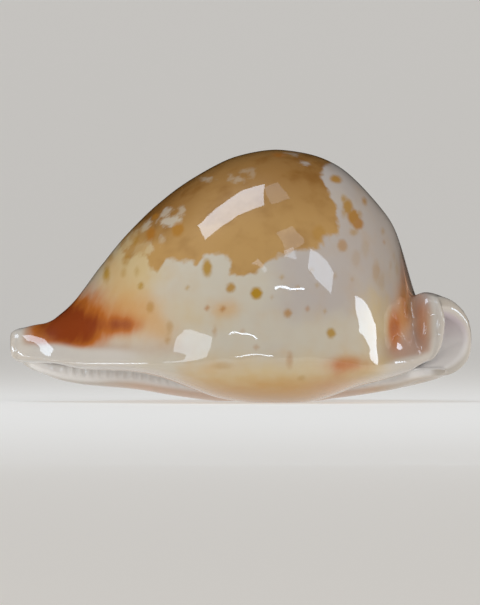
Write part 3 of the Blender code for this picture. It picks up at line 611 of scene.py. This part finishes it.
def enamel_marks(outer, inner, from_rim):
    """Every marking as a value at each point of the rings."""
    chart = Chart(outer)
    places = [chart.place(*at, True) for at in BLOTCH_NEAR] + [chart.place(*at, False) for at in BLOTCH_FAR]
    blotch = inside_outline(chart, np.array([(chart.x[at], chart.over[at]) for at in places]))
    gap, (gap_strength,) = nearest_mark(chart, [row[:4] + (True, row[4], row[5:]) for row in GAPS])
    spots = [row[:4] + (True, 0, row[4:]) for row in NEAR_SPOTS]
    spots += [row[:4] + (False, 0, row[4:]) for row in far_spots(chart, blotch)]
    spot, (warmth, strength) = nearest_mark(chart, spots)
    clouds = {name: np.zeros(blotch.shape) for name in NEAR_CLOUDS}
    for kinds, on_near in ((NEAR_CLOUDS, True), (FAR_CLOUDS, False)):
        for name, rows in kinds.items():
            for x, height, long, high, turn, strong in rows:
                clouds[name] += strong * np.exp(-chart.ellipse(x, height, long, high, on_near, turn) ** 2)
    x, z = chart.x, chart.height
    near = np.broadcast_to(np.arange(z.shape[1]) <= chart.half, z.shape)
    above_lip = z - np.where(near, z[:, :1], z[:, -1:])
    front, back = ease(*FRONT_X, x), ease(*BACK_X, x)
    clouds["cream"] += ease(*CREAM_Z, z) * ease(*CREAM_X, x)
    back_margin = BACK_MARGIN_SHARE * back * ease(*BACK_MARGIN, above_lip)
    under = np.arange(z.shape[1]) / (SPANS[0] + SPANS[1])
    under = np.minimum(under, under[::-1])
    under = np.where(near, NEAR_BASE_SHARE * ease(*NEAR_BASE, under), ease(*FAR_BASE, under))
    # Partly pigment, partly painted shade: the blotch is made darker towards the top of the dome and at its
    # upper left
    umber_front = UMBER_SHADE_FRONT_SHARE * ease(*UMBER_SHADE_FRONT_X, x) * ease(*UMBER_SHADE_FRONT_Z, z)
    found = dict(
        blotch=blotch, gap=gap, gap_strength=gap_strength, **clouds,
        spot=spot, spot_warmth=warmth, spot_strength=strength,
        honey=ease(*HONEY_Z, z) * (1 - np.maximum(front, back)),
        margin=np.maximum(front * ease(*FRONT_MARGIN, above_lip), back_margin),
        lilac=ease(*LILAC_X, x) * ease(*LILAC_Z, z),
        base=under * (1 - ease(*BASE_END_X, x)) * (1 - BASE_BACK_FADE * back),
        depth=UMBER_SHADE_SHARE * ease(*UMBER_SHADE_Z, z) + umber_front,
        wave_reach=ease(*WAVE_Z, z) * (1 + ease(*WAVE_FRONT_X, x)),
    )
    blank = np.zeros(inner.shape[:2])
    distances = ("blotch", "gap", "spot")
    marks = {name: all_round(v, blank + NO_MARK * (name in distances)) for name, v in found.items()}
    deep, height = slit_depth(outer, inner, chart.from_lip)
    far_inside = np.arange(inner.shape[1]) > inner.shape[1] // 2
    far = all_round(np.where(near, 0, 1), blank + far_inside) > 0.5
    lip_edge = FAR_LIP_EDGE + FAR_LIP_SHIFT * ease(*FAR_LIP_X, all_round(x, inner[..., 0]))
    marks["lip"] = np.where(far, ease(*FAR_LIP, deep - lip_edge), ease(*NEAR_LIP, deep))
    outer_rim, inner_rim = (ease(*limits, from_rim)[:, None] for limits in (OUTER_RIM, INNER_RIM))
    marks["rim"] = np.where(deep < height, outer_rim, inner_rim)
    # Partly own colour, partly painted light: the inside mauve thins out low down, where the canals and the
    # slit lie in shade
    inside = INSIDE_LOW_PALE_AND_LIT + (1 - INSIDE_LOW_PALE_AND_LIT) * ease(*INSIDE_Z_PALE_AND_LIT, all_round(z, inner[..., 2]))
    marks["inside"] = ease(height, height + INSIDE_START, deep) * inside
    return marks, deep, height, far


def tooth_marks(s, deep, height, far, near_count, far_count):
    """Where each point lies between two teeth, and how strongly the teeth stand there."""
    phase, strength = np.zeros(deep.shape), np.zeros(deep.shape)
    for side, name, count in ((~far, "near", near_count), (far, "far", far_count)):
        span, over_lip, share = TEETH[name]
        pitch = (span[1] - span[0]) / (count - 1)
        along = ((s - span[0]) / pitch)[:, None]
        fade = ease(span[0] - pitch, span[0] + pitch, s) * ease(span[1] + pitch, span[1] - pitch, s)
        across = ease(-over_lip, TOOTH_FULL, deep) * ease(height + TOOTH_DEPTH, height, deep)
        phase = np.where(side, along, phase)
        strength = np.where(side, fade[:, None] * across * share, strength)
    return phase, strength


def wall_mesh(outer, inner, marks):
    """The closed wall, with its markings as attributes of its points."""
    rings, wide, narrow = len(outer), outer.shape[1], inner.shape[1]
    points = all_round(outer, inner)
    count = points.shape[1]
    at = np.arange(rings * count).reshape(rings, count)
    quads = np.stack([at[:-1], at[1:], np.roll(at[1:], -1, 1), np.roll(at[:-1], -1, 1)], axis=-1)
    faces = quads.reshape(-1, 4).tolist()
    last = wide + SLIT_ROWS + narrow - 1
    for first, turned in ((0, False), (int(at[-1, 0]), True)):
        for k in range(narrow - 1):
            far = list(range(wide, wide + SLIT_ROWS)) if k == narrow - 2 else []
            near = list(range(last + 1, count)) if k == 0 else []
            cap = [2 * k, 2 * k + 1, 2 * k + 2] + far + [last - 1 - k, last - k] + near
            faces.append([first + i for i in (cap[::-1] if turned else cap)])
    points = points.reshape(-1, 3) * MM
    mesh = bpy.data.meshes.new(PIECE)
    mesh.from_pydata(points.tolist(), [], faces)
    for name, values in marks.items():
        attribute = mesh.attributes.new(name, "FLOAT", "POINT")
        attribute.data.foreach_set("value", values.astype(np.float32).ravel())
    mesh.polygons.foreach_set("use_smooth", [True] * len(mesh.polygons))
    mesh.update()
    return mesh


def add_node(tree, kind, inputs=None, **settings):
    """Adds a node. inputs maps a socket's name or number to a value or to another node's output."""
    node = tree.nodes.new(kind)
    for name, value in settings.items():
        setattr(node, name, value)
    for socket, value in (inputs or {}).items():
        if isinstance(value, bpy.types.NodeSocket):
            tree.links.new(value, node.inputs[socket])
        else:
            node.inputs[socket].default_value = value
    return node


def value_nodes(tree):
    """Two functions that add nodes to this tree: arithmetic, and a smooth step from 0 at low to 1 at high."""

    def maths(operation, *values, clamp=False):
        node = add_node(tree, "ShaderNodeMath", dict(enumerate(values)), operation=operation, use_clamp=clamp)
        return node.outputs[0]

    def between(value, low, high):
        limits = {"Value": value, "From Min": low, "From Max": high}
        return add_node(tree, "ShaderNodeMapRange", limits, interpolation_type="SMOOTHSTEP").outputs["Result"]

    return maths, between


def relief_tree():
    """Raises the teeth across both lips and gives the enamel its slow swellings."""
    tree = bpy.data.node_groups.new("Lip teeth", "GeometryNodeTree")
    sizes = {name: "Float" for name in ("Tooth height", "Wave height", "Wave length")}
    for name, kind in {"Geometry": "Geometry", **sizes, "Material": "Material"}.items():
        tree.interface.new_socket(name, in_out="INPUT", socket_type="NodeSocket" + kind)
    tree.interface.new_socket("Geometry", in_out="OUTPUT", socket_type="NodeSocketGeometry")
    given = add_node(tree, "NodeGroupInput").outputs
    maths, between = value_nodes(tree)

    def attribute(name):
        return add_node(tree, "GeometryNodeInputNamedAttribute", {"Name": name}).outputs["Attribute"]

    def scaled(kind, share):
        vector = add_node(tree, kind).outputs[0]
        return add_node(tree, "ShaderNodeVectorMath", {0: vector, "Scale": share}, operation="SCALE").outputs[0]

    wave = maths("COSINE", maths("MULTIPLY", attribute("tooth_phase"), 2 * math.pi))
    ridge = maths("MULTIPLY", between(wave, TOOTH_FOOT, 1), attribute("tooth_reach"))
    tooth = maths("MULTIPLY", ridge, given["Tooth height"])
    place = scaled("GeometryNodeInputPosition", maths("DIVIDE", 1, given["Wave length"]))
    noise = add_node(tree, "ShaderNodeTexNoise", {"Vector": place, "Scale": 1, "Detail": 2}).outputs[0]
    # The noise strays about a quarter either way from 0.5, so four times that is about the wave height
    swell = maths("MULTIPLY", maths("SUBTRACT", noise, 0.5), maths("MULTIPLY", given["Wave height"], 4))
    height = maths("ADD", tooth, maths("MULTIPLY", swell, attribute("wave_reach")))
    offset = scaled("GeometryNodeInputNormal", height)
    moved = add_node(tree, "GeometryNodeSetPosition", {"Geometry": given["Geometry"], "Offset": offset})
    real = add_node(tree, "GeometryNodeRealizeInstances", {"Geometry": moved.outputs[0]}).outputs[0]
    dressed = add_node(tree, "GeometryNodeSetMaterial", {"Geometry": real, "Material": given["Material"]})
    add_node(tree, "NodeGroupOutput", {0: dressed.outputs[0]})
    return tree


def new_material(name, settings):
    """A material, and its one shader with these settings."""
    made = bpy.data.materials.new(name)
    made.use_nodes = True
    shader = made.node_tree.nodes["Principled BSDF"]
    for socket, value in settings.items():
        shader.inputs[socket].default_value = value
    return made, shader


def cowrie_enamel(colours):
    """Polished cowrie enamel: layered aragonite glaze with pigment laid in and under it.

    The clear top layer, near aragonite in its IOR, gives sharp, white reflections of the lamps. The pigment
    below has soft edges, as seen through the glaze, and the white ground is faintly clouded with lilac.
    """
    made, shader = new_material("cowrie_enamel", {
        "Roughness": 0.35, "Specular IOR Level": 0.1,
        "Coat Weight": 1, "Coat Roughness": 0.03, "Coat IOR": 1.6,
    })
    tree = made.node_tree
    maths, between = value_nodes(tree)
    place = add_node(tree, "ShaderNodeTexCoord").outputs["Object"]

    def field(name):
        return add_node(tree, "ShaderNodeAttribute", attribute_name=name).outputs["Fac"]

    def noise(size, detail=2, vector=place):
        """Noise with features of about this many millimetres."""
        settings = {"Vector": vector, "Scale": 1 / (size * MM), "Detail": detail}
        return add_node(tree, "ShaderNodeTexNoise", settings).outputs[0]

    def ragged(value, size, amount, detail=2):
        """The value shaken by noise of this size, by less than this much either way."""
        return maths("ADD", value, maths("MULTIPLY", maths("SUBTRACT", noise(size, detail), 0.5), 2 * amount))

    def mixed(share, below, above):
        return add_node(tree, "ShaderNodeMix", {0: share, 6: below, 7: above}, data_type="RGBA").outputs[2]

    paint = {name: tuple(getattr(colours, name)) for name in CowrieColours.__annotations__}
    upright = add_node(tree, "ShaderNodeMapping", {"Vector": place, "Scale": (1, 1, 0.5)}).outputs[0]
    streaks = maths("MULTIPLY", maths("SUBTRACT", noise(3, 2, upright), 0.5), 0.9)
    rust = maths("MULTIPLY", field("rust"), maths("ADD", 1, streaks))
    mottle = maths("MULTIPLY", between(noise(6, 3), 0.45, 0.75), 0.35)
    # The blotch's tone darkens with random mottle, and with the umber share, which is partly painted shade
    tone = mixed(maths("ADD", mottle, field("depth"), clamp=True), paint["tan"], paint["umber"])
    gap = maths("MULTIPLY", between(ragged(field("gap"), 1.5, 0.9), -0.3, 0.5), field("gap_strength"))
    blotch = between(ragged(ragged(field("blotch"), 3.2, 1.4), 1.3, 0.5), -0.5, 0.6)
    blotch = maths("MULTIPLY", blotch, maths("SUBTRACT", 1, gap))
    spot = maths("MULTIPLY", between(ragged(field("spot"), 1.2, 0.25), -0.35, 0.6), field("spot_strength"))
    # From the ground up, each layer's share and colour. A share is a marking, frayed by noise, that sets in
    # at one value and is full at the next.
    layers = [
        (between(ragged(field("lilac"), 11, 0.8, 3), 0, 1), paint["lilac"]),
        (between(ragged(ragged(field("cream"), 8, 0.35), 2.5, 0.12), 0, 1.1), paint["cream"]),
        (between(ragged(field("honey"), 5, 0.4), -0.1, 1.1), paint["honey"]),
        (between(ragged(field("amber"), 4, 0.2), 0, 1.2), paint["amber"]),
        (between(ragged(field("mauve"), 4, 0.2), 0, 1.1), paint["mauve"]),
        (between(rust, 0, 1), paint["rust"]),
        (between(rust, 0.6, 1.7), paint["deep_rust"]),
        (maths("MULTIPLY", blotch, 0.96), tone),
        (spot, mixed(field("spot_warmth"), paint["spot_yellow"], paint["spot_rust"])),
        (between(field("margin"), 0, 1), paint["margin"]),
        (field("base"), paint["base"]),
        (field("lip"), paint["lip"]),
        (field("inside"), paint["inside"]),
        (field("rim"), paint["margin"]),
    ]
    ground = paint["white"]
    for share, tint in layers:
        ground = mixed(share, ground, tint)
    tree.links.new(ground, shader.inputs["Base Color"])
    return made


def opal_acrylic(colours):
    """Matt opal acrylic, lit from beneath as a light table is: a pale, even surface with almost no shadow."""
    tint = tuple(colours.floor)
    return new_material("opal_acrylic", {
        "Base Color": tint, "Roughness": 1, "Specular IOR Level": 0.1, "Emission Color": tint,
        "Emission Strength": TABLE_GLOW,
    })[0]


def add_object(name, data):
    made = bpy.data.objects.new(name, data)
    bpy.context.scene.collection.objects.link(made)
    return made


class COWRIE_OT_grow_wall(bpy.types.Operator):
    """Lofts the rolled wall and works out where its markings and teeth lie"""

    bl_idname = "cowrie.grow_wall"
    bl_label = "Grow wall"

    def execute(self, context):
        sizes = context.scene.cowrie_sizes
        outer, inner, s, from_rim = wall_points()
        marks, deep, height, far = enamel_marks(outer, inner, from_rim)
        teeth = tooth_marks(s, deep, height, far, sizes.near_teeth, sizes.far_teeth)
        marks["tooth_phase"], marks["tooth_reach"] = teeth
        add_object(PIECE, wall_mesh(outer, inner, marks))
        return {"FINISHED"}


class COWRIE_OT_raise_teeth(bpy.types.Operator):
    """Raises the lips' teeth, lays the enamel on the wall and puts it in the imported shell's place"""

    bl_idname = "cowrie.raise_teeth"
    bl_label = "Raise teeth"

    def execute(self, context):
        sizes = context.scene.cowrie_sizes
        shell = bpy.data.objects[PIECE]
        values = {
            "Tooth height": sizes.tooth_height,
            "Wave height": sizes.wave_height,
            "Wave length": sizes.wave_length,
            "Material": cowrie_enamel(context.scene.cowrie_colours),
        }
        modifier = shell.modifiers.new("Lip teeth", "NODES")
        modifier.node_group = relief_tree()
        for item in modifier.node_group.interface.items_tree:
            if item.in_out == "INPUT" and item.name in values:
                modifier[item.identifier] = values[item.name]
        graph = context.evaluated_depsgraph_get()
        raised = bpy.data.meshes.new_from_object(
            shell.evaluated_get(graph), preserve_all_data_layers=True, depsgraph=graph
        )
        shell.modifiers.clear()
        shell.data = raised
        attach(shell, "root")
        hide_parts(NODE)
        return {"FINISHED"}


def turned_mesh(name, profile):
    """A surface turned round Z from a profile of radius and height, which starts on the axis or beside it."""
    around = np.radians(np.arange(0, 360, TURN_STEP))
    count = len(around)
    points, faces = [], []
    for radius, height in profile:
        turns = around if radius else around[:1]
        points += [(radius * math.cos(a) * MM, radius * math.sin(a) * MM, height * MM) for a in turns]
    first = 0
    for (radius, _), _ in zip(profile, profile[1:]):
        wide = count if radius else 1
        for i in range(count):
            j = (i + 1) % count
            inner = (first + i, first + j) if radius else (first,)
            faces.append((inner[0], first + wide + i, first + wide + j) + inner[1:])
        first += wide
    mesh = bpy.data.meshes.new(name)
    mesh.from_pydata(points, [], faces)
    mesh.polygons.foreach_set("use_smooth", [True] * len(mesh.polygons))
    return mesh


def add_light(name, tint, around, up, distance, width, height, spin, brightness):
    """A soft box that faces the middle of the shell. Its power follows from its size and brightness."""
    data = bpy.data.lights.new(name, "AREA")
    data.shape = "RECTANGLE"
    data.size, data.size_y = width * MM, height * MM
    data.energy = brightness * math.pi * data.size * data.size_y
    data.color = linear(tint)[:3]
    light = add_object(name, data)
    a, e = math.radians(around), math.radians(up)
    way = Vector((math.sin(a) * math.cos(e), -math.cos(a) * math.cos(e), math.sin(e)))
    light.location = way * distance * MM + Vector((0, 0, PHOTO_CENTRE[1] * MM))
    turn = way.to_track_quat("Z", "Y").to_matrix().to_4x4()
    light.matrix_world = turn.Translation(light.location) @ turn @ turn.Rotation(math.radians(spin), 4, "Z")
    light.visible_camera = False
    return light


class COWRIE_OT_set_stage(bpy.types.Operator):
    """Adds the floor, the lamps and the camera at the photograph's angle"""

    bl_idname = "cowrie.set_stage"
    bl_label = "Set stage"

    def execute(self, context):
        scene = context.scene
        bend = np.radians(np.linspace(0, 90, COVE_POINTS))
        cove = [(FLOOR_RADIUS + COVE_RADIUS * math.sin(a), COVE_RADIUS * (1 - math.cos(a))) for a in bend]
        profiles = {
            "table": [(0, 0), (TABLE_RADIUS, 0)],
            "backdrop": [(TABLE_RADIUS, 0), (MIDDLE_RADIUS, 0)] + cove,
        }
        opal = opal_acrylic(scene.cowrie_colours)
        for name, profile in profiles.items():
            surface = add_object(name, turned_mesh(name, profile))
            surface.data.materials.append(opal)
            surface.visible_glossy = name == "table"  # the enamel mirrors the table, and black beyond it
        for name, settings in LIGHTS.items():
            add_light(name, DAYLIGHT, *settings)
        for name, settings in STRIPS.items():
            add_light(name, DAYLIGHT, *settings).visible_diffuse = False
        for name, settings in FILLS.items():
            add_light(name, WARM_LIGHT, *settings).visible_glossy = False
        world = bpy.data.worlds.new("studio")
        world.use_nodes = True
        background = world.node_tree.nodes["Background"]
        background.inputs["Color"].default_value = linear(WARM_LIGHT)
        background.inputs["Strength"].default_value = SKY
        world.cycles_visibility.glossy = False
        scene.world = world
        scene.view_settings.view_transform = "Standard"
        data = bpy.data.cameras.new("camera")
        data.sensor_fit = "HORIZONTAL"
        data.sensor_width = SENSOR
        data.lens = SENSOR * CAMERA_DISTANCE / (PHOTO_WIDTH * PHOTO_SCALE)
        data.clip_start, data.clip_end = 0.05, 50
        camera = add_object("camera", data)
        camera.location = (PHOTO_CENTRE[0] * MM, -CAMERA_DISTANCE * MM, PHOTO_CENTRE[1] * MM)
        camera.rotation_euler = (math.pi / 2, 0, 0)
        scene.camera = camera
        return {"FINISHED"}


class COWRIE_PT_panel(bpy.types.Panel):
    """The steps that make the shell and its stage, with their sizes and colours"""

    bl_label = "Cowrie Shell"
    bl_idname = "COWRIE_PT_panel"
    bl_space_type = "VIEW_3D"
    bl_region_type = "UI"
    bl_category = "Cowrie"

    def draw(self, context):
        for group in (context.scene.cowrie_sizes, context.scene.cowrie_colours):
            for name in group.__annotations__:
                self.layout.prop(group, name)
        for step in STEPS:
            self.layout.operator(step.bl_idname)


STEPS = (COWRIE_OT_grow_wall, COWRIE_OT_raise_teeth, COWRIE_OT_set_stage)
CLASSES = (CowrieSizes, CowrieColours) + STEPS + (COWRIE_PT_panel,)


def register():
    for cls in CLASSES:
        bpy.utils.register_class(cls)
    bpy.types.Scene.cowrie_sizes = bpy.props.PointerProperty(type=CowrieSizes)
    bpy.types.Scene.cowrie_colours = bpy.props.PointerProperty(type=CowrieColours)


def unregister():
    del bpy.types.Scene.cowrie_colours
    del bpy.types.Scene.cowrie_sizes
    for cls in reversed(CLASSES):
        bpy.utils.unregister_class(cls)


def main():
    register()
    bpy.ops.cowrie.grow_wall()
    bpy.ops.cowrie.raise_teeth()
    bpy.ops.cowrie.set_stage()


if __name__ == "__main__":
    main()
